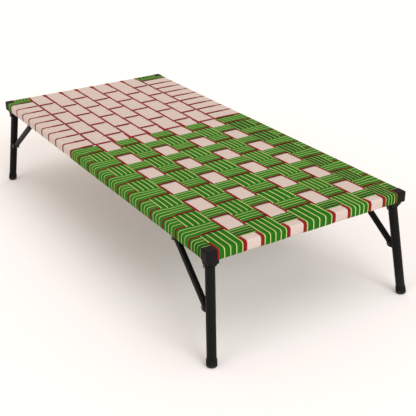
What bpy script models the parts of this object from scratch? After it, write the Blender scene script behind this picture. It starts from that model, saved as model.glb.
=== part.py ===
"""Raised dog bed: a woven webbing deck on a steel tube frame with four folding, braced legs.

Metres, +Z up. X runs along the bed, Y across it, and the origin is on the floor under its middle.
"""

import math

import bmesh
import bpy
from mathutils import Matrix, Vector

# Overall sizes
BED_LENGTH = 1.300
BED_WIDTH = 0.600
BED_HEIGHT = 0.293
GAP = 0.0003  # left between pieces that touch

# Frame tubes and corner caps
TUBE_WIDTH = 0.020
TUBE_HEIGHT = 0.025
TUBE_WALL = 0.0015
TUBE_CORNER = 0.003
CAP_SHOULDER = 0.0077  # how far a cap reaches past the tubes' inner faces
CAP_LIP = 0.0006  # how far a cap reaches below the webbing round the tubes
CAP_ROUNDING = 0.004
PLUG_LENGTH = 0.028

# Webbing
WEBBING_THICKNESS = 0.0018
WEBBING_TUCK = 0.003  # how far short of the tube's inner corner a band ends underneath
BAND_SPACING = 0.006  # clear space between two neighbouring bands
BAND_SLOPE = 0.0044  # length of the slope where a band goes from over to under
DECK_DROP = 0.0002  # how far the deck lies below the tops of the caps
FIRST_ROW = 0.0475  # width taken by the cross band next to the near end
LAST_ROW = 0.0325  # width taken by the cross band next to the far end
GREEN_ROWS = 12
BEIGE_ROWS = 9
COLOUR_CHANGE = 0.572  # share of the length, from the near end, woven in green
COLUMN_EDGES_NEAR = (0.165, 0.260, 0.370, 0.465, 0.598, 0.692, 0.790, 0.882)
COLUMN_EDGES_FAR = (0.132, 0.230, 0.330, 0.427, 0.527, 0.630, 0.730, 0.828)

# Legs: the leg's centre line leans outwards both ways
LEG_RADIUS = 0.012
LEG_WALL = 0.0015
LEG_INSET_X = 0.025  # from the bed's end to the leg's centre line, under the cap
LEG_INSET_Y = 0.023
LEAN_X = math.radians(8.7)
LEAN_Y = math.radians(5.15)
LEG_FOLD = math.radians(91.0)
KNUCKLE_PLUG = 0.020  # solid length of the leg below its pivot
KNUCKLE_ROOM = 0.0025  # above the leg's round end, under its bracket
PIVOT_RADIUS = 0.003
FOOT_WALL = 0.0012
FOOT_HEIGHT = 0.020
FOOT_BASE = 0.0042
FOOT_ROUNDING = 0.003

# Leg bracket
BRACKET_WALL = 0.0020
BRACKET_COLLAR = 0.009
BRACKET_CLEARANCE = 0.0006
EAR_RADIUS = 0.0065

# Brace, its clip on the leg and its catch under the side rail
BRACE_WIDTH = 0.015
BRACE_DEPTH = 0.013
BRACE_DOWN_LEG = 0.109
BRACE_EDGE = 0.0035
CATCH_INSET = 0.175  # from the bed's end to the catch's slot
CATCH_DROP = 0.011  # from the cap's underside down to the catch's slot
CATCH_WALL = 0.0022
CATCH_FRONT = 0.008
CATCH_BACK = 0.009
SLOT_FALL = math.radians(20.7)  # how steeply the slot runs down towards its mouth
BOLT_RADIUS = 0.0025
PIN_RADIUS = 0.0027
HEAD_THICKNESS = 0.0020
FIT = 0.0003  # clearance round a shaft in its hole
SIDE_PLAY = 0.0004  # clearance beside a moving piece
ROUND_STEPS = 20
BOLT_STEPS = 12

HALF_LENGTH = BED_LENGTH / 2
HALF_WIDTH = BED_WIDTH / 2
WRAP_CENTRE = DECK_DROP + WEBBING_THICKNESS / 2  # band's centre line, in from the outer face
TUBE_INSET = DECK_DROP + WEBBING_THICKNESS + GAP
CAP_SIZE = TUBE_INSET + TUBE_WIDTH + CAP_SHOULDER
CAP_BOTTOM = BED_HEIGHT - TUBE_INSET - TUBE_HEIGHT - GAP - WEBBING_THICKNESS - CAP_LIP
FOOT_RADIUS = LEG_RADIUS + GAP + FOOT_WALL
PIVOT_DROP = LEG_RADIUS + BRACKET_WALL + KNUCKLE_ROOM  # from the cap's underside to the leg's pivot
TUBE_TOP = BED_HEIGHT - TUBE_INSET
TUBE_BOTTOM = TUBE_TOP - TUBE_HEIGHT
LEVEL_OVER = BED_HEIGHT - WRAP_CENTRE
LEVEL_UNDER = LEVEL_OVER - WEBBING_THICKNESS - GAP
WEAVE_START = CAP_SIZE - BAND_SPACING / 2 + 2 * GAP
CORNERS = {
    "near_left": (1, -1),
    "near_right": (1, 1),
    "far_left": (-1, -1),
    "far_right": (-1, 1),
}


def clear_scene():
    for old in list(bpy.data.objects):
        bpy.data.objects.remove(old, do_unlink=True)


def make_material(name, colour, roughness, metallic):
    material = bpy.data.materials.new(name)
    material.use_nodes = True
    shader = material.node_tree.nodes["Principled BSDF"]
    shader.inputs["Base Color"].default_value = (*colour, 1)
    shader.inputs["Roughness"].default_value = roughness
    shader.inputs["Metallic"].default_value = metallic
    return material


def add_object(name, bm, material, parent=None):
    """Turn a bmesh into a named object, in its parent's axes when it has one."""
    bmesh.ops.recalc_face_normals(bm, faces=bm.faces)
    mesh = bpy.data.meshes.new(name)
    bm.to_mesh(mesh)
    bm.free()
    made = bpy.data.objects.new(name, mesh)
    bpy.context.collection.objects.link(made)
    if parent:
        made.parent = parent
    if material:
        mesh.materials.append(material)
    return made


def smooth(made, angle=math.radians(35)):
    made.data.shade_smooth()
    made.data.set_sharp_from_angle(angle=angle)


def add_cutter(name, bm, parent=None):
    cutter = add_object(name, bm, None, parent)
    cutter.display_type = "WIRE"
    cutter.hide_render = True
    return cutter


def boolean(made, other, operation):
    step = made.modifiers.new(operation.title(), "BOOLEAN")
    step.operation = operation
    step.solver = "EXACT"
    step.object = other


def bevel(made, width, segments):
    step = made.modifiers.new("Bevel", "BEVEL")
    step.width = width
    step.segments = segments
    step.limit_method = "ANGLE"


def add_empty(name, matrix):
    empty = bpy.data.objects.new(name, None)
    empty.matrix_world = matrix
    bpy.context.collection.objects.link(empty)
    return empty


def box(low, high):
    """A box between two corners."""
    bm = bmesh.new()
    size = Vector(high) - Vector(low)
    middle = (Vector(high) + Vector(low)) / 2
    place = Matrix.Translation(middle) @ Matrix.Diagonal((*size, 1))
    bmesh.ops.create_cube(bm, size=1, matrix=place)
    return bm


def plate(outline, low, high):
    """A flat outline in the local XY plane, extruded from Z = low to Z = high."""
    bm = bmesh.new()
    face = bm.faces.new([bm.verts.new((x, y, low)) for x, y in outline])
    grown = bmesh.ops.extrude_face_region(bm, geom=[face])
    raised = [part for part in grown["geom"] if isinstance(part, bmesh.types.BMVert)]
    bmesh.ops.translate(bm, verts=raised, vec=(0, 0, high - low))
    return bm


def turned(profile, steps, axis):
    """A closed solid turned round a local axis from (radius, along) points that end on the axis."""
    bm = bmesh.new()
    side = Vector((1, 0, 0))
    verts = [bm.verts.new(side * radius + axis * along) for radius, along in profile]
    edges = [bm.edges.new(pair) for pair in zip(verts, verts[1:])]
    bmesh.ops.spin(
        bm,
        geom=verts + edges,
        axis=axis,
        cent=(0, 0, 0),
        angle=2 * math.pi,
        steps=steps,
        use_merge=True,
    )
    bmesh.ops.remove_doubles(bm, verts=bm.verts, dist=1e-6)
    return bm


def arc(centre, radius, start, end, steps):
    """Points on an arc, angles in degrees."""
    angles = [math.radians(start + (end - start) * i / steps) for i in range(steps + 1)]
    return [(centre[0] + radius * math.cos(a), centre[1] + radius * math.sin(a)) for a in angles]


def headed_pin(radius, grip, head_radius):
    """A pin along local Z with a low head on both ends, grip long between the heads."""
    reach = grip / 2
    end = reach + HEAD_THICKNESS
    profile = [
        (0, -end),
        (head_radius - HEAD_THICKNESS / 2, -end),
        (head_radius, -end + HEAD_THICKNESS / 2),
        (head_radius, -reach),
        (radius, -reach),
        (radius, reach),
        (head_radius, reach),
        (head_radius, end - HEAD_THICKNESS / 2),
        (head_radius - HEAD_THICKNESS / 2, end),
        (0, end),
    ]
    return turned(profile, BOLT_STEPS, Vector((0, 0, 1)))


def bore(name, radius, reach, parent):
    """A round cutter along the parent's Z."""
    profile = [(0, -reach), (radius, -reach), (radius, reach), (0, reach)]
    return add_cutter(name, turned(profile, BOLT_STEPS, Vector((0, 0, 1))), parent)


# ---------------------------------------------------------------- frame


def tube_section(across, up):
    """Outline of the square tube's outside or inside, with round corners."""
    corner = min(TUBE_CORNER, across / 3)
    points = []
    for index, (side, lift) in enumerate(((1, 1), (-1, 1), (-1, -1), (1, -1))):
        centre = (side * (across / 2 - corner), lift * (up / 2 - corner))
        points += arc(centre, corner, 90 * index, 90 * index + 90, 2)
    return points


def rail(name, length, place, material):
    """A square tube with open ends, its length along local Z."""
    made = add_object(name, plate(tube_section(TUBE_WIDTH, TUBE_HEIGHT), -length / 2, length / 2), material)
    inside = tube_section(TUBE_WIDTH - 2 * TUBE_WALL, TUBE_HEIGHT - 2 * TUBE_WALL)
    cutter = add_cutter(name + "_hollow", plate(inside, -length, length))
    boolean(made, cutter, "DIFFERENCE")
    made.matrix_world = place
    cutter.matrix_world = place


def add_rails(steel):
    centre_z = (TUBE_TOP + TUBE_BOTTOM) / 2
    side_y = HALF_WIDTH - TUBE_INSET - TUBE_WIDTH / 2
    end_x = HALF_LENGTH - TUBE_INSET - TUBE_WIDTH / 2
    clear = CAP_SIZE + GAP
    lengthways = Matrix(((0, 0, 1), (1, 0, 0), (0, 1, 0))).to_4x4()
    crossways = Matrix(((1, 0, 0), (0, 0, -1), (0, 1, 0))).to_4x4()
    for side, word in ((-1, "left"), (1, "right")):
        place = Matrix.Translation((0, side * side_y, centre_z)) @ lengthways
        rail("side_rail_" + word, BED_LENGTH - 2 * clear, place, steel)
    for end, word in ((1, "near"), (-1, "far")):
        place = Matrix.Translation((end * end_x, 0, centre_z)) @ crossways
        rail("end_rail_" + word, BED_WIDTH - 2 * clear, place, steel)


def add_corner_cap(corner, plastic):
    """A rounded block with a plug into each of the two tubes that meet there."""
    end, side = CORNERS[corner]
    outer = Vector((end * HALF_LENGTH, side * HALF_WIDTH, BED_HEIGHT))
    inner = Vector((end * (HALF_LENGTH - CAP_SIZE), side * (HALF_WIDTH - CAP_SIZE), CAP_BOTTOM))
    low = [min(pair) for pair in zip(outer, inner)]
    high = [max(pair) for pair in zip(outer, inner)]
    cap = add_object("corner_cap_" + corner, box(low, high), plastic)
    bevel(cap, CAP_ROUNDING, 3)
    slack = TUBE_WALL + FIT
    across = TUBE_WIDTH / 2 - slack
    plug_low = TUBE_BOTTOM + slack
    plug_high = TUBE_TOP - slack
    x = end * (HALF_LENGTH - TUBE_INSET - TUBE_WIDTH / 2)
    y = side * (HALF_WIDTH - TUBE_INSET - TUBE_WIDTH / 2)
    tip_x = end * (HALF_LENGTH - CAP_SIZE - PLUG_LENGTH)
    tip_y = side * (HALF_WIDTH - CAP_SIZE - PLUG_LENGTH)
    plugs = {
        "_side_plug": ((min(x, tip_x), y - across, plug_low), (max(x, tip_x), y + across, plug_high)),
        "_end_plug": ((x - across, min(y, tip_y), plug_low), (x + across, max(y, tip_y), plug_high)),
    }
    for ending, (plug_from, plug_to) in plugs.items():
        plug = add_cutter("corner_cap_" + corner + ending, box(plug_from, plug_to))
        bevel(plug, TUBE_CORNER, 1)
        boolean(cap, plug, "UNION")
    smooth(cap)


# ---------------------------------------------------------------- webbing


def row_edges():
    """Distances from the near end to the middles of the spaces between cross bands."""
    change = COLOUR_CHANGE * BED_LENGTH
    start = WEAVE_START
    green_from = start + FIRST_ROW
    edges = [start]
    for i in range(GREEN_ROWS):
        edges.append(green_from + (change - green_from) * i / (GREEN_ROWS - 1))
    beige_to = BED_LENGTH - start - LAST_ROW
    for i in range(1, BEIGE_ROWS + 1):
        edges.append(change + (beige_to - change) * i / BEIGE_ROWS)
    edges.append(BED_LENGTH - start)
    return edges


def column_edges(along):
    """Distances from the left side to the middles of the spaces between long bands.

    The bands fan out a little from the colour change to the near end.
    """
    change = COLOUR_CHANGE * BED_LENGTH
    spread = max(0.0, (change - along) / change)
    inner = [
        BED_WIDTH * (far + (near - far) * spread)
        for near, far in zip(COLUMN_EDGES_NEAR, COLUMN_EDGES_FAR)
    ]
    return [WEAVE_START, *inner, BED_WIDTH - WEAVE_START]


def long_band_is_over(column, row):
    """Plain weave, except past the colour change.

    There the outer bands stay under, and the others all go over the last cross band.
    """
    if column in (0, len(COLUMN_EDGES_NEAR)) and row >= GREEN_ROWS:
        return False
    if row == GREEN_ROWS + BEIGE_ROWS:
        return True
    return (column + row) % 2 == 0


def band_route(edges, is_over, span):
    """Centre line of a band as (distance, height): round one tube, across the deck, round the other."""
    reach = TUBE_CORNER + GAP + WEBBING_THICKNESS / 2
    inset = TUBE_INSET + TUBE_CORNER
    low = TUBE_BOTTOM + TUBE_CORNER
    high = TUBE_TOP - TUBE_CORNER
    start = TUBE_INSET + TUBE_WIDTH - WEBBING_TUCK
    route = [(start, low - reach)]
    route += arc((inset, low), reach, 270, 180, 2)
    route += arc((inset, high), reach, 180, 90, 2)
    level = LEVEL_OVER
    for index, edge in enumerate(edges):
        over = True if index == len(edges) - 1 else is_over(index)
        wanted = LEVEL_OVER if over else LEVEL_UNDER
        if wanted == level:
            route.append((edge, level))
        else:
            route.append((edge - BAND_SLOPE / 2, level))
            route.append((edge + BAND_SLOPE / 2, wanted))
        level = wanted
    route += arc((span - inset, high), reach, 90, 0, 2)
    route += arc((span - inset, low), reach, 0, -90, 2)
    route.append((span - start, low - reach))
    return route


def offset_route(route, distance):
    """The route moved sideways by a distance, with mitred corners."""
    moved = []
    for index, point in enumerate(route):
        here = Vector(point)
        before = here - Vector(route[index - 1]) if index else Vector(route[1]) - here
        after = Vector(route[index + 1]) - here if index + 1 < len(route) else before
        first = Vector((-before.y, before.x)).normalized()
        second = Vector((-after.y, after.x)).normalized()
        mitre = (first + second).normalized()
        moved.append(here + mitre * (distance / mitre.dot(first)))
    return moved


def ribbon(sections):
    """A closed strip through a list of four-cornered sections."""
    bm = bmesh.new()
    loops = [[bm.verts.new(point) for point in section] for section in sections]
    for before, after in zip(loops, loops[1:]):
        for i in range(4):
            j = (i + 1) % 4
            bm.faces.new((before[i], before[j], after[j], after[i]))
    bm.faces.new(loops[0])
    bm.faces.new(loops[-1])
    return bm


def long_band(column):
    """One band along the bed, passing over and under the cross bands."""
    route = band_route(row_edges(), lambda row: long_band_is_over(column, row), BED_LENGTH)
    upper = offset_route(route, WEBBING_THICKNESS / 2)
    lower = offset_route(route, -WEBBING_THICKNESS / 2)
    sections = []
    for (along, _), above, below in zip(route, upper, lower):
        edges = column_edges(along)
        left = edges[column] + BAND_SPACING / 2 - HALF_WIDTH
        right = edges[column + 1] - BAND_SPACING / 2 - HALF_WIDTH
        x_above = HALF_LENGTH - above.x
        x_below = HALF_LENGTH - below.x
        sections.append(
            (
                (x_above, left, above.y),
                (x_above, right, above.y),
                (x_below, right, below.y),
                (x_below, left, below.y),
            )
        )
    return ribbon(sections)


def cross_pass(row):
    """One pass of a cross band from the left side rail to the right one."""
    edges = row_edges()
    near = edges[row] + BAND_SPACING / 2
    far = edges[row + 1] - BAND_SPACING / 2
    sides = []
    for along in (near, far):
        columns = column_edges(along)
        route = band_route(columns, lambda column: not long_band_is_over(column, row), BED_WIDTH)
        x = HALF_LENGTH - along
        upper = offset_route(route, WEBBING_THICKNESS / 2)
        lower = offset_route(route, -WEBBING_THICKNESS / 2)
        sides.append(
            [
                ((x, above.x - HALF_WIDTH, above.y), (x, below.x - HALF_WIDTH, below.y))
                for above, below in zip(upper, lower)
            ]
        )
    sections = [(a[0], b[0], b[1], a[1]) for a, b in zip(*sides)]
    return ribbon(sections)


def turn_link(row, side):
    """The short stretch under a side rail that takes the band from one pass to the next."""
    edge = row_edges()[row + 1]
    reach = BAND_SPACING
    outer = TUBE_INSET + TUBE_CORNER + GAP
    inner = TUBE_INSET + TUBE_WIDTH - WEBBING_TUCK - GAP
    centre = TUBE_BOTTOM - GAP - WEBBING_THICKNESS / 2
    half = WEBBING_THICKNESS / 2 - GAP
    y_from, y_to = sorted((side * (HALF_WIDTH - outer), side * (HALF_WIDTH - inner)))
    low = (HALF_LENGTH - edge - reach, y_from, centre - half)
    high = (HALF_LENGTH - edge + reach, y_to, centre + half)
    return box(low, high)


def add_cross_band(name, rows, material):
    """A cross band of one or more passes, turning round alternate side rails."""
    band = add_object(name, cross_pass(rows[0]), material)
    for count, row in enumerate(rows[1:]):
        side = -1 if count % 2 == 0 else 1
        link = add_cutter(f"{name}_turn_{count + 1}", turn_link(row - 1, side))
        boolean(band, link, "UNION")
        next_pass = add_cutter(f"{name}_pass_{count + 2}", cross_pass(row))
        boolean(band, next_pass, "UNION")


def add_webbing(green, beige):
    for column in range(len(COLUMN_EDGES_NEAR) + 1):
        number = column // 2 + 1
        if column % 2 == 0:
            add_object(f"green_long_band_{number}", long_band(column), green)
        else:
            add_object(f"beige_long_tape_{number}", long_band(column), beige)
    for first in range(0, GREEN_ROWS, 2):
        add_cross_band(f"green_cross_band_{first // 2 + 1}", [first, first + 1], green)
    pairs = BEIGE_ROWS // 2
    for index in range(pairs):
        first = GREEN_ROWS + 2 * index
        last = first + 2 if index < pairs - 1 else GREEN_ROWS + BEIGE_ROWS
        add_cross_band(f"beige_cross_tape_{index + 1}", list(range(first, last)), beige)
    add_cross_band("green_end_band", [GREEN_ROWS + BEIGE_ROWS], green)


# ---------------------------------------------------------------- legs


def fold_axes(corner):
    """Columns: inwards along the bed, down the leg's plane, and the hinge axis."""
    end, side = CORNERS[corner]
    inward = Vector((-end, 0, 0))
    down = Vector((0, side * math.sin(LEAN_Y), -math.cos(LEAN_Y)))
    return Matrix((inward, down, inward.cross(down))).transposed()


def leg_pivot(corner):
    end, side = CORNERS[corner]
    x = HALF_LENGTH - LEG_INSET_X + PIVOT_DROP * math.tan(LEAN_X) / math.cos(LEAN_Y)
    y = HALF_WIDTH - LEG_INSET_Y + PIVOT_DROP * math.tan(LEAN_Y)
    return Vector((end * x, side * y, CAP_BOTTOM - PIVOT_DROP))


def brace_points():
    """The clip's pin and the catch's pin, from the leg's pivot, in the fold's own plane."""
    offset = LEG_RADIUS + BRACE_WIDTH / 2 + BRACKET_CLEARANCE
    clip = Vector(
        (
            offset * math.cos(LEAN_X) - BRACE_DOWN_LEG * math.sin(LEAN_X),
            offset * math.sin(LEAN_X) + BRACE_DOWN_LEG * math.cos(LEAN_X),
        )
    )
    inward = abs(leg_pivot("near_left").x) - (HALF_LENGTH - CATCH_INSET)
    catch = Vector((inward, (CATCH_DROP - PIVOT_DROP) / math.cos(LEAN_Y)))
    return clip, catch


def leg_frames(corner):
    """Empties for the bracket, the leg, the brace and the catch, each on its own axis."""
    axes = fold_axes(corner).to_4x4()
    pivot = Matrix.Translation(leg_pivot(corner)) @ axes
    clip, catch = brace_points()
    along = catch - clip
    brace_turn = Matrix.Rotation(math.atan2(along.y, along.x), 4, "Z")
    return {
        "bracket": add_empty("bracket_origin_" + corner, pivot),
        "leg": add_empty("leg_hinge_" + corner, pivot @ Matrix.Rotation(LEAN_X, 4, "Z")),
        "brace": add_empty(
            "brace_hinge_" + corner, pivot @ Matrix.Translation((*clip, 0)) @ brace_turn
        ),
        "catch": add_empty("catch_origin_" + corner, pivot @ Matrix.Translation((*catch, 0))),
    }


def add_bracket(corner, frame, ceiling, steel):
    """A pressed collar under the corner with two ears that carry the leg's pivot."""
    inner = LEG_RADIUS + BRACKET_CLEARANCE
    outer = inner + BRACKET_WALL
    top = -PIVOT_DROP - BRACKET_WALL
    hem = -PIVOT_DROP + BRACKET_COLLAR
    ear = [(-outer, top), (-outer, hem), *arc((0, 0), EAR_RADIUS, 180, 0, 6), (inner, hem), (inner, top)]
    bracket = add_object("leg_bracket_" + corner, plate(ear, -outer, outer), steel, frame)
    room = [
        (-inner, -PIVOT_DROP + BRACKET_WALL + GAP),
        (-inner, EAR_RADIUS * 2),
        (outer, EAR_RADIUS * 2),
        (outer, -PIVOT_DROP + BRACKET_WALL + GAP),
    ]
    boolean(bracket, add_cutter("bracket_room_" + corner, plate(room, -inner, inner), frame), "DIFFERENCE")
    boolean(bracket, ceiling, "DIFFERENCE")
    hole = bore("bracket_hole_" + corner, PIVOT_RADIUS + FIT, outer * 2, frame)
    boolean(bracket, hole, "DIFFERENCE")
    grip = 2 * (outer + GAP)
    bolt = headed_pin(PIVOT_RADIUS, grip, PIVOT_RADIUS * 1.7)
    smooth(add_object("leg_pivot_bolt_" + corner, bolt, steel, frame))


def leg_length(corner):
    """From the pivot down the leg's centre line to the floor."""
    return leg_pivot(corner).z / (math.cos(LEAN_X) * math.cos(LEAN_Y))


def add_leg(corner, frame, steel):
    """A round tube with a ball-shaped knuckle at the pivot and a clip for the brace."""
    end = leg_length(corner) - FOOT_BASE - GAP
    radius_inside = LEG_RADIUS - LEG_WALL
    knuckle = [(LEG_RADIUS * math.sin(a), -LEG_RADIUS * math.cos(a)) for a in (0, 0.4, 0.8, 1.2, math.pi / 2)]
    profile = knuckle + [(LEG_RADIUS, end), (radius_inside, end), (radius_inside, KNUCKLE_PLUG), (0, KNUCKLE_PLUG)]
    name = "leg_" + corner
    leg = add_object(name, turned(profile, ROUND_STEPS, Vector((0, 1, 0))), steel, frame)
    clip_x = LEG_RADIUS + BRACE_WIDTH / 2 + BRACKET_CLEARANCE
    half = BRACE_WIDTH / 2
    ear = [
        (LEG_RADIUS / 2, BRACE_DOWN_LEG - half),
        *arc((clip_x, BRACE_DOWN_LEG), half, -90, 90, 5),
        (LEG_RADIUS / 2, BRACE_DOWN_LEG + half),
    ]
    near_face = BRACE_DEPTH / 2 + SIDE_PLAY
    for side in (-1, 1):
        low, high = sorted((side * near_face, side * (near_face + CATCH_WALL)))
        word = "low" if side < 0 else "high"
        boolean(leg, add_cutter(f"{name}_clip_{word}", plate(ear, low, high), frame), "UNION")
    boolean(leg, bore(name + "_pivot_hole", PIVOT_RADIUS + FIT, 2 * LEG_RADIUS, frame), "DIFFERENCE")
    clip_hole = bore(name + "_clip_hole", BOLT_RADIUS + FIT, BRACE_DEPTH * 2, frame)
    clip_hole.location = (clip_x, BRACE_DOWN_LEG, 0)
    boolean(leg, clip_hole, "DIFFERENCE")
    smooth(leg)
    grip = 2 * (near_face + CATCH_WALL + GAP)
    bolt = headed_pin(BOLT_RADIUS, grip, BOLT_RADIUS * 1.8)
    bmesh.ops.translate(bolt, verts=bolt.verts, vec=(clip_x, BRACE_DOWN_LEG, 0))
    smooth(add_object("brace_bolt_" + corner, bolt, steel, frame))


def add_foot(corner, frame, floor, rubber):
    """A ribbed rubber cap pushed over the leg's end, worn flat where it meets the floor."""
    bottom = leg_length(corner)
    top = bottom - FOOT_HEIGHT
    sleeve = LEG_RADIUS + GAP
    groove = 0.0006
    rib = 0.0016
    profile = [(0, bottom - FOOT_BASE), (sleeve, bottom - FOOT_BASE), (sleeve, top)]
    profile += [(FOOT_RADIUS - groove, top), (FOOT_RADIUS, top + rib)]
    for count in (1, 2):
        start = top + count * 3 * rib
        profile += [(FOOT_RADIUS, start), (FOOT_RADIUS - groove, start + rib / 2), (FOOT_RADIUS, start + rib)]
    edge = arc((FOOT_RADIUS - FOOT_ROUNDING, bottom - FOOT_ROUNDING), FOOT_ROUNDING, 0, 90, 3)
    profile += [*edge, (0, bottom)]
    foot = add_object("foot_" + corner, turned(profile, ROUND_STEPS, Vector((0, 1, 0))), rubber, frame)
    boolean(foot, floor, "DIFFERENCE")
    smooth(foot)


def add_brace(corner, frame, steel):
    """A straight bar from the leg's clip to the catch, with a hole at each end."""
    clip, catch = brace_points()
    length = (catch - clip).length
    half = BRACE_WIDTH / 2
    outline = [*arc((length, 0), half, -90, 90, 8), *arc((0, 0), half, 90, 270, 8)]
    name = "brace_" + corner
    brace = add_object(name, plate(outline, -BRACE_DEPTH / 2, BRACE_DEPTH / 2), steel, frame)
    bevel(brace, BRACE_EDGE, 2)
    boolean(brace, bore(name + "_clip_hole", BOLT_RADIUS + FIT, BRACE_DEPTH, frame), "DIFFERENCE")
    catch_hole = bore(name + "_catch_hole", PIN_RADIUS + FIT, BRACE_DEPTH, frame)
    catch_hole.location = (length, 0, 0)
    boolean(brace, catch_hole, "DIFFERENCE")
    smooth(brace)
    grip = 2 * (BRACE_DEPTH / 2 + SIDE_PLAY + CATCH_WALL + SIDE_PLAY)
    pin = headed_pin(PIN_RADIUS, grip, PIN_RADIUS * 1.6)
    bmesh.ops.translate(pin, verts=pin.verts, vec=(length, 0, 0))
    smooth(add_object("catch_pin_" + corner, pin, steel, frame))


def add_catch(corner, frame, ceiling, steel):
    """Two ears under the side rail whose sloping slots hold the brace's pin."""
    lip = 0.0085
    top = -CATCH_DROP - CATCH_WALL
    outline = [
        (-CATCH_BACK, top),
        (-CATCH_BACK, 0),
        (-0.003, lip - 0.002),
        (CATCH_FRONT, lip),
        (CATCH_FRONT, top),
    ]
    inner = BRACE_DEPTH / 2 + SIDE_PLAY
    outer = inner + CATCH_WALL
    catch = add_object("brace_catch_" + corner, plate(outline, -outer, outer), steel, frame)
    under = -CATCH_DROP + CATCH_WALL + GAP
    room = [(-2 * CATCH_BACK, under), (-2 * CATCH_BACK, 3 * lip), (2 * CATCH_FRONT, 3 * lip)]
    room.append((2 * CATCH_FRONT, under))
    boolean(catch, add_cutter("catch_room_" + corner, plate(room, -inner, inner), frame), "DIFFERENCE")
    half = PIN_RADIUS + 2 * FIT
    slot = [(CATCH_FRONT * 2, -half), (CATCH_FRONT * 2, half), *arc((0, 0), half, 90, 270, 6)]
    cutter = add_cutter("catch_slot_" + corner, plate(slot, -2 * outer, 2 * outer), frame)
    cutter.rotation_euler.z = SLOT_FALL
    boolean(catch, cutter, "DIFFERENCE")
    boolean(catch, ceiling, "DIFFERENCE")


def build():
    clear_scene()
    steel = make_material("black_steel", (0.030, 0.030, 0.032), 0.42, 0.0)
    plastic = make_material("black_plastic", (0.045, 0.045, 0.048), 0.55, 0.0)
    rubber = make_material("black_rubber", (0.025, 0.025, 0.026), 0.70, 0.0)
    green = make_material("green_webbing", (0.060, 0.300, 0.035), 0.80, 0.0)
    beige = make_material("beige_webbing", (0.610, 0.480, 0.400), 0.85, 0.0)
    reach = BED_LENGTH
    ceiling = add_cutter("ceiling", box((-reach, -reach, CAP_BOTTOM - GAP), (reach, reach, reach)))
    floor = add_cutter("floor", box((-reach, -reach, -reach), (reach, reach, 0)))
    add_rails(steel)
    for corner in CORNERS:
        frames = leg_frames(corner)
        add_corner_cap(corner, plastic)
        add_bracket(corner, frames["bracket"], ceiling, steel)
        add_leg(corner, frames["leg"], steel)
        add_foot(corner, frames["leg"], floor, rubber)
        add_brace(corner, frames["brace"], steel)
        add_catch(corner, frames["catch"], ceiling, steel)
    add_webbing(green, beige)


build()
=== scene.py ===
"""A raised dog bed: woven webbing on a black steel frame with four braced folding legs."""

import math

import bmesh
import bpy
from mathutils import Euler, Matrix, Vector


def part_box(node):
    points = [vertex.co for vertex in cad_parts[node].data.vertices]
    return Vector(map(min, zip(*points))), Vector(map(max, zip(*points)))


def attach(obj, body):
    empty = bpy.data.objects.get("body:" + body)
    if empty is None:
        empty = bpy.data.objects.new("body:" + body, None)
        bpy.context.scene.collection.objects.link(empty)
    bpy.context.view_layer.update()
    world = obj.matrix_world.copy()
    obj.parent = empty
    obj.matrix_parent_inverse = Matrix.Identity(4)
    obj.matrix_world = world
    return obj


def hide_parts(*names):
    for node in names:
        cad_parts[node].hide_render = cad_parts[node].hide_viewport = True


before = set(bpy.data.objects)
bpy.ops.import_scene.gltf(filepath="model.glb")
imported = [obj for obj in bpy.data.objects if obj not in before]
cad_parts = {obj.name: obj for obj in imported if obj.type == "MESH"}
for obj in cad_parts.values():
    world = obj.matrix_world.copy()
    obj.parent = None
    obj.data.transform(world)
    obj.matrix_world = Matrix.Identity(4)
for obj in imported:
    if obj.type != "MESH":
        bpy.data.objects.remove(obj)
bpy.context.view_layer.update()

# ---------------------------------------------------------------- camera
# Eye level above a low bed, seen from its green end and left side.

camera_data = bpy.data.cameras.new("camera")
camera_data.lens = 70.9
camera_data.sensor_width = 36.0
camera = bpy.data.objects.new("camera", camera_data)
bpy.context.collection.objects.link(camera)
camera.location = (1.9986, -1.1316, 1.1536)
looking = Euler((math.radians(64.64), 0, math.radians(58.2))).to_quaternion()
roll = Euler((0, 0, math.radians(-0.8))).to_quaternion()
camera.rotation_mode = "QUATERNION"
camera.rotation_quaternion = looking @ roll
bpy.context.scene.camera = camera

# ---------------------------------------------------------------- studio
# A pale seamless floor in a bright even room, with one broad soft lamp overhead
# that gives the bed its shadow and two lower ones in front that open it up.

scene = bpy.context.scene
scene.view_settings.view_transform = "Standard"
room = bpy.data.worlds.new("studio_room")
room.use_nodes = True
room.node_tree.nodes["Background"].inputs["Color"].default_value = (1.0, 0.880, 0.785, 1)
room.node_tree.nodes["Background"].inputs["Strength"].default_value = 0.77
scene.world = room
for name, energy, spread, tilt, turn in (
    ("overhead_lamp", 0.72, 50, 14, 110),
    ("left_lamp", 0.68, 36, 66, 12),
    ("end_lamp", 1.70, 36, 64, 92),
):
    lamp_data = bpy.data.lights.new(name, "SUN")
    lamp_data.energy = energy
    lamp_data.angle = math.radians(spread)
    lamp_data.color = (0.92, 0.935, 1.0)
    lamp = bpy.data.objects.new(name, lamp_data)
    bpy.context.collection.objects.link(lamp)
    lamp.rotation_euler = (math.radians(tilt), 0, math.radians(turn))

bm = bmesh.new()
bmesh.ops.create_grid(bm, x_segments=4, y_segments=4, size=60.0)
floor_mesh = bpy.data.meshes.new("studio_floor")
bm.to_mesh(floor_mesh)
bm.free()
floor = bpy.data.objects.new("studio_floor", floor_mesh)
bpy.context.collection.objects.link(floor)
floor_paint = bpy.data.materials.new("pale_floor")
floor_paint.use_nodes = True
floor_shader = floor_paint.node_tree.nodes["Principled BSDF"]
floor_shader.inputs["Base Color"].default_value = (0.885, 0.875, 0.865, 1)
floor_shader.inputs["Roughness"].default_value = 0.85
floor_shader.inputs["Specular IOR Level"].default_value = 0.2
floor_mesh.materials.append(floor_paint)

# ---------------------------------------------------------------- steel frame and legs
# Square tube rails, round tube legs, pressed brackets and catches, and straight braces.
# All are mild steel with a black satin powder coat, a little rubbed and dusty.


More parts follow.
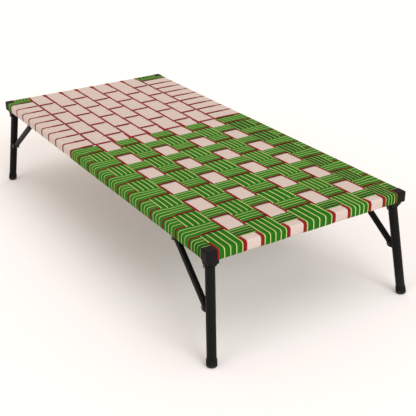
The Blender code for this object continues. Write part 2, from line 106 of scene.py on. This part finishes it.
class Wire:
    """A socket among one finish's nodes. Sums written with wires add Math nodes."""

    def __init__(self, tree, socket=None):
        self.tree = tree
        self.socket = socket

    def node(self, kind, values=None, output=0, stops=None, **settings):
        made = self.tree.nodes.new("ShaderNode" + kind)
        for setting, value in settings.items():
            setattr(made, setting, value)
        if stops:
            ramp = made.color_ramp
            while len(ramp.elements) < len(stops):
                ramp.elements.new(1.0)
            for element, (position, colour) in zip(ramp.elements, stops):
                element.position = position
                element.color = (*colour, 1)
        for place, value in (values or {}).items():
            if isinstance(value, Wire):
                self.tree.links.new(value.socket, made.inputs[place])
            else:
                made.inputs[place].default_value = value
        return Wire(self.tree, made.outputs[output])

    def maths(self, operation, first, second=0.0):
        return self.node("Math", {0: first, 1: second}, operation=operation)

    def __add__(self, other):
        return self.maths("ADD", self, other)

    __radd__ = __add__

    def __sub__(self, other):
        return self.maths("SUBTRACT", self, other)

    def __rsub__(self, other):
        return self.maths("SUBTRACT", other, self)

    def __mul__(self, other):
        return self.maths("MULTIPLY", self, other)

    __rmul__ = __mul__

    def __truediv__(self, other):
        return self.maths("DIVIDE", self, other)

    def __gt__(self, other):
        return self.maths("GREATER_THAN", self, other)

    def __lt__(self, other):
        return self.maths("LESS_THAN", self, other)

    def fraction(self):
        return self.maths("FRACT", self)

    def sine(self):
        return self.maths("SINE", self)

    def between(self, low, high):
        """0 at low, 1 at high and a straight run between."""
        return self.node("MapRange", {"Value": self, "From Min": low, "From Max": high})

    def blend(self, first, second):
        """A colour from first to second as this goes from 0 to 1."""
        return self.node("Mix", {0: self, 6: first, 7: second}, output=2, data_type="RGBA")

    def feed(self, shader, place):
        self.tree.links.new(self.socket, shader.inputs[place])


def start_finish(name, **fixed):
    """A new material, its shader with the sockets that stay the same, and a wire to build from."""
    material = bpy.data.materials.new(name)
    material.use_nodes = True
    shader = material.node_tree.nodes["Principled BSDF"]
    for place, value in fixed.items():
        shader.inputs[place.replace("_", " ")].default_value = value
    return material, shader, Wire(material.node_tree)


def grain(wire, place, scale, detail=3.0, roughness=0.5, distortion=0.0):
    values = {"Vector": place, "Scale": scale, "Detail": detail}
    values["Roughness"] = roughness
    values["Distortion"] = distortion
    return wire.node("TexNoise", values)


def raise_surface(wire, shader, height, distance, strength):
    values = {"Height": height, "Distance": distance, "Strength": strength}
    wire.node("Bump", values).feed(shader, "Normal")


def powder_coat():
    material, shader, wire = start_finish("black_powder_coat", Specular_IOR_Level=0.08)
    place = wire.node("TexCoord", output="Object")
    orange_peel = grain(wire, place, 900.0, 2.0)
    cloud = grain(wire, place, 14.0, 4.0, 0.6)
    scuff = grain(wire, place, 60.0, 5.0, 0.75, 1.5).between(0.62, 0.74)
    height = wire.node("SeparateXYZ", {0: place}, output="Z")
    dust = (1.0 - height.between(0.0, 0.10)) * cloud.between(0.35, 0.75)
    coat = cloud.blend((0.0030, 0.0028, 0.0024, 1), (0.0080, 0.0076, 0.0068, 1))
    rubbed = (scuff * 0.25).blend(coat, (0.040, 0.038, 0.035, 1))
    (dust * 0.06).blend(rubbed, (0.20, 0.18, 0.155, 1)).feed(shader, "Base Color")
    (0.36 + cloud * 0.14 + scuff * 0.10 + dust * 0.12).feed(shader, "Roughness")
    raise_surface(wire, shader, orange_peel, 0.0001, 0.35)
    return material


def paint(words, material):
    """Give every CAD node whose name starts with one of the words this finish."""
    for name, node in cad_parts.items():
        if name.startswith(words):
            for slot in node.material_slots:
                slot.link = "OBJECT"
                slot.material = material


steel_words = ("side_rail", "end_rail", "leg_near", "leg_far", "leg_bracket", "brace_near", "brace_far")
paint((*steel_words, "brace_catch"), powder_coat())

# ---------------------------------------------------------------- bolts and pins
# Headed steel pins in black oxide, brighter where the coating has worn off their heads.


def black_oxide():
    material, shader, wire = start_finish("black_oxide_steel", Metallic=0.85)
    place = wire.node("TexCoord", output="Object")
    turned_marks = grain(wire, place, 1600.0, 2.0)
    worn = grain(wire, place, 260.0, 4.0, 0.7).between(0.52, 0.68)
    worn.blend((0.045, 0.044, 0.043, 1), (0.22, 0.215, 0.21, 1)).feed(shader, "Base Color")
    (0.42 - worn * 0.12 + turned_marks * 0.08).feed(shader, "Roughness")
    raise_surface(wire, shader, turned_marks, 0.00008, 0.4)
    return material


paint(("leg_pivot_bolt", "brace_bolt", "catch_pin"), black_oxide())

# ---------------------------------------------------------------- corner caps
# Injection-moulded corner blocks in black polypropylene with a fine spark-eroded grain.


def moulded_plastic():
    material, shader, wire = start_finish("black_moulded_plastic", Specular_IOR_Level=0.08)
    place = wire.node("TexCoord", output="Object")
    cells = wire.node("TexVoronoi", {"Vector": place, "Scale": 1500.0})
    flow = grain(wire, place, 32.0, 4.0, 0.6, 0.8)
    scratch = grain(wire, place, 180.0, 6.0, 0.8, 2.5).between(0.66, 0.76)
    body = flow.blend((0.0040, 0.0038, 0.0033, 1), (0.0095, 0.0090, 0.0078, 1))
    (scratch * 0.20).blend(body, (0.07, 0.067, 0.062, 1)).feed(shader, "Base Color")
    (0.44 + flow * 0.14 + scratch * 0.08).feed(shader, "Roughness")
    raise_surface(wire, shader, cells + scratch * -0.5, 0.00012, 0.35)
    return material


paint(("corner_cap",), moulded_plastic())

# ---------------------------------------------------------------- feet
# Ribbed push-on rubber ferrules, matt, with floor dust round the bottom edge.


def ferrule_rubber():
    material, shader, wire = start_finish("black_ferrule_rubber", Specular_IOR_Level=0.10)
    place = wire.node("TexCoord", output="Object")
    bloom = grain(wire, place, 90.0, 5.0, 0.65)
    pores = grain(wire, place, 1200.0, 2.0)
    height = wire.node("SeparateXYZ", {0: place}, output="Z")
    dust = (1.0 - height.between(0.0, 0.012)) * bloom.between(0.3, 0.7)
    rubber = bloom.blend((0.004, 0.004, 0.0036, 1), (0.010, 0.0097, 0.0092, 1))
    (dust * 0.25).blend(rubber, (0.21, 0.19, 0.165, 1)).feed(shader, "Base Color")
    (0.66 + bloom * 0.18).feed(shader, "Roughness")
    raise_surface(wire, shader, pores, 0.0001, 0.4)
    return material


paint(("foot",), ferrule_rubber())

# ---------------------------------------------------------------- green long bands
# Flat corded webbing, polypropylene cords laid side by side: one pale to three green, with painted shade as
# the dark lines between.
# The outer two bands run from end rail to end rail, hooked under both. The inner three are hooked
# under the near rail and end where the deck turns beige.

_, cap_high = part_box("corner_cap_near_right")
half_length, half_width = cap_high.x, cap_high.y
deck_low, deck_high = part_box("green_long_band_3")
tape_thickness = 0.0011
solid_thickness = 0.0018
deck_inset = 0.0002
wrap_inset = deck_inset + solid_thickness / 2
over_level = deck_high.z - solid_thickness / 2
weave_drop = 0.0028
under_level = over_level - weave_drop
rail_bottom = deck_low.z + solid_thickness / 2
tuck_end = 0.0193
tuck_step = 0.004
corner_radius = 0.0065
corner_steps = 6
step = 0.0042
facets_per_cord = 4
canvas_facets = 22
uv_unit = 0.05

slope_reach = 0.0024
extra_green_reach = 0.0006
green_past = 0.0036
crown_height = 0.0004

cap_room = 0.0011
long_rail_room, long_rail_edge = 0.0006, 0.022
green_over_room, green_under_room = 0.0005, 0.0010
beige_over_lap, beige_under_room = 0.0030, 0.0070

weave_start = 0.0276
first_pass, last_pass = 0.0475, 0.0325
green_rows, beige_rows = 12, 9
last_row = green_rows + beige_rows
colour_change = 0.572 * 2 * half_length
change_length = 0.020
row_lines = [weave_start]
first_line = weave_start + first_pass
row_lines += [first_line + (colour_change - first_line) * i / (green_rows - 1) for i in range(green_rows)]
last_line = 2 * half_length - weave_start - last_pass
row_lines += [colour_change + (last_line - colour_change) * i / beige_rows for i in range(1, beige_rows + 1)]
row_lines.append(2 * half_length - weave_start)

column_shares_near = (0.165, 0.260, 0.370, 0.465, 0.598, 0.692, 0.790, 0.882)
column_shares_far = (0.132, 0.230, 0.330, 0.427, 0.527, 0.630, 0.730, 0.828)
last_column = len(column_shares_near)


def column_lines(along):
    """Distances from the left side to the joints between long bands, at a distance from the near end."""
    spread = min(1.0, max(0.0, (colour_change - along) / colour_change))
    shares = zip(column_shares_near, column_shares_far)
    inner = [2 * half_width * (far + (near - far) * spread) for near, far in shares]
    return [weave_start, *inner, 2 * half_width - weave_start]


def long_is_over(column, row):
    if column in (0, last_column) and row >= green_rows:
        return False
    return row == last_row or (column + row) % 2 == 0


def ease(share):
    share = min(1.0, max(0.0, share))
    return share * share * (3 - 2 * share)


def in_green(along):
    """1 in the green part of the deck, 0 in the beige part."""
    return 1.0 - ease(0.5 + (along - colour_change) / change_length)


def weave_height(distance, lines, is_over, reach, past=0.0):
    """How far up a band is, 0 under and 1 over, and how far it is through the stretch it is in.

    It changes over twice the reach, centred that far past the joint on the lower side.
    """
    last = len(lines) - 2
    levels = [1.0] + [1.0 if is_over(index) else 0.0 for index in range(last + 1)] + [1.0]
    here = levels[0]
    for index, line in enumerate(lines):
        before, after = levels[index], levels[index + 1]
        middle = line + past * (before - after)
        here += (after - before) * ease(0.5 + (distance - middle) / (2 * reach))
    cell = sum(distance > line for line in lines) - 1
    through = 0.0
    if 0 <= cell <= last:
        through = (distance - lines[cell]) / (lines[cell + 1] - lines[cell])
    return here, through


def band_line(span, height_at, start=None, end=None):
    """Points (distance, height) on a band's centre line, hooked under a rail at each free end."""
    inset = wrap_inset + corner_radius

    def corner(start_angle, centre_height):
        turns = [math.radians(start_angle - 90 * i / corner_steps) for i in range(corner_steps + 1)]
        return [
            (inset + corner_radius * math.cos(turn), centre_height + corner_radius * math.sin(turn))
            for turn in turns
        ]

    middle = (rail_bottom + over_level) / 2
    hook = [(tuck_end - i * tuck_step, rail_bottom) for i in range(3)]
    hook += corner(270, rail_bottom + corner_radius)
    hook += [(wrap_inset, middle + i * tuck_step) for i in (-1, 0, 1)]
    hook += corner(180, over_level - corner_radius)
    first = inset + step / 2 if start is None else start
    final = span - inset - step / 2 if end is None else end
    count = round((final - first) / step)
    deck = [first + (final - first) * i / count for i in range(count + 1)]
    points = [] if start is not None else hook
    points = points + [(d, height_at(d)) for d in deck]
    if end is None:
        points += [(span - d, z) for d, z in reversed(hook)]
    return points


def lay_band(name, points, across_at, cords, cord_height, to_bed, border=0.0, skip=0.0):
    """A corded or plain tape: a flat grid bent along its line, one ridge to a cord, then thickened.

    A band that skips a share of its pattern starts that far across it.
    """
    facets = cords * facets_per_cord if cords else canvas_facets
    length = len(points) - 1
    runs = [0.0]
    for before, after in zip(points, points[1:]):
        runs.append(runs[-1] + math.dist(before, after))
    bm = bmesh.new()
    uv = bm.loops.layers.uv.new("tape_run")
    bmesh.ops.create_grid(bm, x_segments=length, y_segments=facets, size=1.0)
    steps = {}
    for vert in bm.verts:
        i = round((vert.co.x + 1) / 2 * length)
        j = round((vert.co.y + 1) / 2 * facets)
        steps[vert.index] = (i, j)
        before, after = points[max(i - 1, 0)], points[min(i + 1, length)]
        slope = Vector((after[0] - before[0], after[1] - before[1])).normalized()
        share = j / facets
        if cords:
            ridge = abs(math.sin(math.pi * share * cords)) * cord_height
        else:
            ridge = cord_height * (1.0 if min(share, 1 - share) < border else 0.0)
        near, far = across_at(points[i][0])
        distance = points[i][0] - slope.y * ridge
        height = points[i][1] + slope.x * ridge
        vert.co = to_bed(distance, near + (far - near) * share, height)
    for face in bm.faces:
        for loop in face.loops:
            i, j = steps[loop.vert.index]
            loop[uv].uv = (runs[i] / uv_unit, skip + (1 - skip) * j / facets)
        face.smooth = True
    bm.normal_update()
    mesh = bpy.data.meshes.new(name)
    bm.to_mesh(mesh)
    bm.free()
    band = bpy.data.objects.new(name, mesh)
    bpy.context.collection.objects.link(band)
    wall = band.modifiers.new("tape_thickness", "SOLIDIFY")
    wall.thickness = tape_thickness
    wall.offset = 0.0
    return band


def along_bed(distance, across, height):
    return Vector((half_length - distance, across - half_width, height))


def across_bed(distance, across, height):
    return Vector((half_length - across, distance - half_width, height))


def long_weave(column, distance):
    """How far up a long band is, how far it is through its stretch, and how green the deck is."""
    green = in_green(distance)

    def is_over(row):
        return long_is_over(column, row)

    reach = slope_reach + extra_green_reach * green
    weave, through = weave_height(distance, row_lines, is_over, reach, green_past * green)
    return weave, through, green


def deck_height(weave, through):
    """The centre line's height, slightly crowned where the band is over."""
    crown = crown_height * weave * math.sin(math.pi * through)
    return under_level + (over_level - under_level) * weave + crown


def long_height(column):
    def height_at(distance):
        weave, through, _ = long_weave(column, distance)
        return deck_height(weave, through)

    return height_at


def long_sides(column, flip=False):
    """Both edges of a long band: open at the joints where green, lapped over them where beige."""

    def across_at(distance):
        weave, _, green = long_weave(column, distance)
        over_room = green_over_room * green - beige_over_lap * (1 - green)
        under_room = green_under_room * green + beige_under_room * (1 - green)
        room = over_room * weave + under_room * (1 - weave)
        end = min(distance, 2 * half_length - distance)
        on_rail = 1.0 - ease((end - long_rail_edge) / 0.020)
        room += (long_rail_room - room) * on_rail
        lines = column_lines(distance)
        left = lines[column] + (room if column else cap_room)
        right = lines[column + 1] - (room if column < last_column else cap_room)
        return (right, left) if flip else (left, right)

    return across_at


cord_pale = (0.54, 0.66, 0.19)
cord_green = (0.026, 0.210, 0.014)
# The darkest cord colour is painted shade for the gaps between cords.
cord_gap_shade = (0.003, 0.045, 0.003)
# A red strand darkened to maroon with painted shade.
shaded_strand_red = (0.120, 0.009, 0.008, 1)
strand_cords = 1.5
red_share, red_run = 0.075, 1.55


def corded_finish(name, pale, green, gap_shade, second, cords, red_near=False, red_first=False):
    """Cords by their place across the band, each one twisted, streaked and a little furred, with painted
    shade as the dark lines between them.

    The near edge can be red beside the cap, and the first cord can be a red strand darkened to maroon with
    painted shade.
    """
    material, shader, wire = start_finish(name, Specular_IOR_Level=0.06)
    place = wire.node("UVMap", uv_map="tape_run")
    run = wire.node("SeparateXYZ", {0: place}, output="X")
    across = wire.node("SeparateXYZ", {0: place}, output="Y")
    sway = grain(wire, wire.node("CombineXYZ", {0: run * 0.8, 1: across * 2.0}), 3.0, 2.0)
    shifted = across + (sway - 0.5) * 0.016
    counted = shifted * cords - (1.0 if red_first else 0.0)
    # The darkest stops are painted shade in the gaps between the cords.
    stops = [(0.0, gap_shade), (0.07, pale), (0.13, pale), (0.21, gap_shade), (0.34, green), (0.45, gap_shade)]
    stops += [(0.56, second), (0.67, gap_shade), (0.80, green), (0.92, gap_shade)]
    ramp = wire.node("ValToRGB", {0: (counted / 4.0).fraction()}, stops=stops)
    twist = (run * 150.0 + across * cords * 3.1).sine() * 0.5 + 0.5
    fibre = grain(wire, wire.node("CombineXYZ", {0: run * 4.0, 1: across * 60.0}), 6.0, 4.0, 0.7)
    patches = grain(wire, wire.node("TexCoord", output="Object"), 9.0, 3.0)
    shade = 0.50 + fibre * 0.50 + patches * 0.22 + twist * 0.05
    grey = wire.node("CombineColor", {0: shade, 1: shade, 2: shade})
    cord = wire.node("Mix", {0: 1.0, 6: ramp, 7: grey}, output=2, data_type="RGBA", blend_type="MULTIPLY")
    if red_first:
        cord = (across < strand_cords / cords).blend(cord, shaded_strand_red)
    if red_near:
        beside_cap = (across < red_share) * (run < red_run)
        cord = beside_cap.blend(cord, (0.25, 0.008, 0.012, 1))
    cord.feed(shader, "Base Color")
    (0.62 + fibre * 0.25).feed(shader, "Roughness")
    raise_surface(wire, shader, twist + fibre * 0.6, 0.0003, 0.40)
    return material


long_cords = 17
cord_ridge = 0.0008
cord_colours = (cord_pale, cord_green, cord_gap_shade, cord_green)
green_long = corded_finish("green_long_cords", *cord_colours, long_cords)
green_outer = corded_finish("green_outer_cords", *cord_colours, long_cords, red_near=True)
join_at = (row_lines[green_rows - 1] + row_lines[green_rows]) / 2

for column in (0, 2, 4, 6, 8):
    number = column // 2 + 1
    outer = column in (0, last_column)
    line = band_line(2 * half_length, long_height(column), end=None if outer else join_at)
    sides = long_sides(column, column == last_column)
    band = lay_band(f"green_corded_band_{number}", line, sides, long_cords, cord_ridge, along_bed)
    band.data.materials.append(green_outer if outer else green_long)
    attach(band, "frame")
    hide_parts(f"green_long_band_{number}")

# ---------------------------------------------------------------- beige long tapes
# Flat cotton canvas tape with a red selvedge down both sides. Four run the whole length,
# and three are sewn to the ends of the inner green bands where the deck turns beige.

beige_yarn = (0.600, 0.490, 0.425)


def canvas_finish(name, near_red, far_red, rail_red=0.0):
    """Plain canvas with red selvedges this share of the width, wider on the near rail, in a square weave."""
    material, shader, wire = start_finish(
        name, Specular_IOR_Level=0.08, Sheen_Weight=0.03, Sheen_Roughness=0.6
    )
    place = wire.node("UVMap", uv_map="tape_run")
    run = wire.node("SeparateXYZ", {0: place}, output="X")
    across = wire.node("SeparateXYZ", {0: place}, output="Y")
    slubs = grain(wire, wire.node("CombineXYZ", {0: run * 6.0, 1: across * 22.0}), 3.0, 3.0, 0.75)
    fill = grain(wire, wire.node("CombineXYZ", {0: run * 20.0, 1: across * 7.0}), 3.0, 3.0, 0.75)
    patches = grain(wire, wire.node("TexCoord", output="Object"), 12.0, 3.0)
    warp = (run * 250.0).sine()
    weft = (across * 260.0).sine()
    weave = warp * weft * 0.5 + 0.5
    tone = (slubs + fill) * 0.5
    pinkish = (0.365, 0.265, 0.225, 1)
    cloth = tone.between(0.36, 0.64).blend(pinkish, (0.770, 0.690, 0.620, 1))
    cloth = (patches * 0.30).blend(cloth, (*beige_yarn, 1))
    shade = 0.90 + weave * 0.12 - (1.0 - tone.between(0.30, 0.50)) * 0.10
    grey = wire.node("CombineColor", {0: shade, 1: shade, 2: shade})
    cloth = wire.node("Mix", {0: 1.0, 6: cloth, 7: grey}, output=2, data_type="RGBA", blend_type="MULTIPLY")
    wider = (1.0 - run.between(1.25, 1.50)) * rail_red
    ragged = (fill - 0.5) * 0.012 - wider
    red_side = across + ragged < near_red
    if far_red:
        other_side = 1.0 - across + ragged < far_red
        red_side = red_side + other_side
    red = slubs.blend((0.250, 0.007, 0.010, 1), (0.175, 0.005, 0.007, 1))
    red_side.blend(cloth, red).feed(shader, "Base Color")
    (0.72 + slubs * 0.18).feed(shader, "Roughness")
    raise_surface(wire, shader, weave + tone * 0.8, 0.00028, 0.5)
    return material


long_selvedge = 0.106
selvedge_ridge = 0.00025
long_canvas = canvas_finish("beige_long_canvas", long_selvedge, long_selvedge, 0.055)

for column in (1, 3, 5, 7):
    line = band_line(2 * half_length, long_height(column))
    name = f"beige_canvas_tape_{column // 2 + 1}"
    tape = lay_band(name, line, long_sides(column), 0, selvedge_ridge, along_bed, long_selvedge)
    tape.data.materials.append(long_canvas)
    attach(tape, "frame")
    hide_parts(f"beige_long_tape_{column // 2 + 1}")

for column in (2, 4, 6):
    line = band_line(2 * half_length, long_height(column), start=join_at)
    name = f"beige_sewn_tape_{column // 2}"
    tape = lay_band(name, line, long_sides(column), 0, selvedge_ridge, along_bed, long_selvedge)
    tape.data.materials.append(long_canvas)
    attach(tape, "frame")
    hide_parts(f"green_long_band_{column // 2 + 1}")

# ---------------------------------------------------------------- green cross bands
# The same corded webbing in quieter greens, with one red strand along its near edge, darkened to maroon with
# painted shade.
# Six bands make two passes each and turn under the left side rail. The far end has a half-width
# band that makes one.

quiet_pale = (0.40, 0.56, 0.15)
quiet_green = (0.024, 0.195, 0.014)
# The darkest quiet green is painted shade for the gaps between cords.
quiet_gap_shade = (0.0025, 0.036, 0.0025)
quiet_olive = (0.045, 0.235, 0.022)
cross_cords = 16
green_deck_room, beige_deck_room, cross_rail_room = 0.0060, 0.0024, 0.0004
cross_rail_edge = 0.031
cap_lap, lap_start, lap_end = 0.0059, 0.0303, 0.060
green_cross = corded_finish(
    "green_cross_cords", quiet_pale, quiet_green, quiet_gap_shade, quiet_olive, cross_cords, red_first=True
)


def cross_height(row):
    def height_at(distance):
        lines = column_lines((row_lines[row] + row_lines[row + 1]) / 2)

        def is_over(column):
            return not long_is_over(column, row)

        return deck_height(*weave_height(distance, lines, is_over, slope_reach))

    return height_at


def cross_sides(row):
    """Both edges of one pass: apart on the deck, nearly touching on the rails.

    The first and last passes start against the caps and lap under the outer band beside them.
    """
    deck_room = green_deck_room if row < green_rows else beige_deck_room

    def across_at(distance):
        side = min(distance, 2 * half_width - distance)
        on_rail = 1.0 - ease((side - cross_rail_edge) / 0.010)
        room = deck_room + (cross_rail_room - deck_room) * on_rail
        lap = ease((side - lap_start) / 0.003) * (1.0 - ease((side - lap_end) / 0.015))
        by_cap = cap_room - cap_lap * lap
        near = row_lines[row] + (room if row else by_cap)
        far = row_lines[row + 1] - (room if row < last_row else by_cap)
        return near, far

    return across_at


def cross_piece(name, rows, cords, ridge, border=0.0):
    """All the passes of one cross band as one mesh. The first of all has no maroon strand."""
    whole = None
    for row in rows:
        line = band_line(2 * half_width, cross_height(row))
        plain = row == 0
        pass_cords = cords - 1 if plain else cords
        skip = strand_cords / cords if plain else 0.0
        made = lay_band(name, line, cross_sides(row), pass_cords, ridge, across_bed, border, skip)
        if whole is None:
            whole = made
            continue
        bm = bmesh.new()
        bm.from_mesh(whole.data)
        bm.from_mesh(made.data)
        bm.to_mesh(whole.data)
        bm.free()
        bpy.data.objects.remove(made)
    whole.name = name
    return whole


for pair in range(green_rows // 2):
    name = f"green_corded_cross_{pair + 1}"
    band = cross_piece(name, (2 * pair, 2 * pair + 1), cross_cords, cord_ridge)
    band.data.materials.append(green_cross)
    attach(band, "frame")
    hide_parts(f"green_cross_band_{pair + 1}")

band = cross_piece("green_corded_end", (last_row,), cross_cords // 2 + 1, cord_ridge)
band.data.materials.append(green_cross)
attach(band, "frame")
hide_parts("green_end_band")

# ---------------------------------------------------------------- beige cross tapes
# Cotton canvas tape again, with a single red strand along its near edge. The last one
# makes three passes, the others two.

cross_selvedge, cross_selvedge_ridge = 0.140, 0.0002
cross_canvas = canvas_finish("beige_cross_canvas", cross_selvedge, 0.0)
beige_passes = ((12, 13), (14, 15), (16, 17), (18, 19, 20))

for number, rows in enumerate(beige_passes, 1):
    tape = cross_piece(f"beige_canvas_cross_{number}", rows, 0, cross_selvedge_ridge, cross_selvedge)
    tape.data.materials.append(cross_canvas)
    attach(tape, "frame")
    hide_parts(f"beige_cross_tape_{number}")

# ---------------------------------------------------------------- red edge cords
# A flat red braid sewn down each outer joint of the beige part, over the cross tapes,
# from the colour change to the green end band.

braid_rise = 0.0012
half_braid = 0.0027
braid_strands, strand_ridge = 3, 0.0003
braid_start = row_lines[green_rows] + 0.004
braid_end = row_lines[last_row] - 0.001


def braid_finish():
    material, shader, wire = start_finish("red_braid", Specular_IOR_Level=0.12, Sheen_Weight=0.05)
    place = wire.node("UVMap", uv_map="tape_run")
    run = wire.node("SeparateXYZ", {0: place}, output="X")
    across = wire.node("SeparateXYZ", {0: place}, output="Y")
    plait = (run * 90.0 + across * 3.0).sine() * 0.5 + 0.5
    fibre = grain(wire, wire.node("CombineXYZ", {0: run * 20.0, 1: across * 6.0}), 4.0, 4.0, 0.7)
    strands = (plait * 0.5 + fibre * 0.5).between(0.25, 0.75)
    strands.blend((0.150, 0.004, 0.006, 1), (0.26, 0.008, 0.011, 1)).feed(shader, "Base Color")
    (0.66 + fibre * 0.2).feed(shader, "Roughness")
    raise_surface(wire, shader, plait + fibre * 0.5, 0.0002, 0.5)
    return material


red_braid = braid_finish()


def braid_sides(joint):
    def across_at(distance):
        middle = column_lines(distance)[joint]
        return middle - half_braid, middle + half_braid

    return across_at


for side, joint in (("left", 1), ("right", last_column)):
    count = round((braid_end - braid_start) / step)
    distances = [braid_start + (braid_end - braid_start) * i / count for i in range(count + 1)]
    line = [(distance, over_level + braid_rise) for distance in distances]
    name = f"red_edge_cord_{side}"
    braid = lay_band(name, line, braid_sides(joint), braid_strands, strand_ridge, along_bed)
    braid.data.materials.append(red_braid)
    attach(braid, "frame")
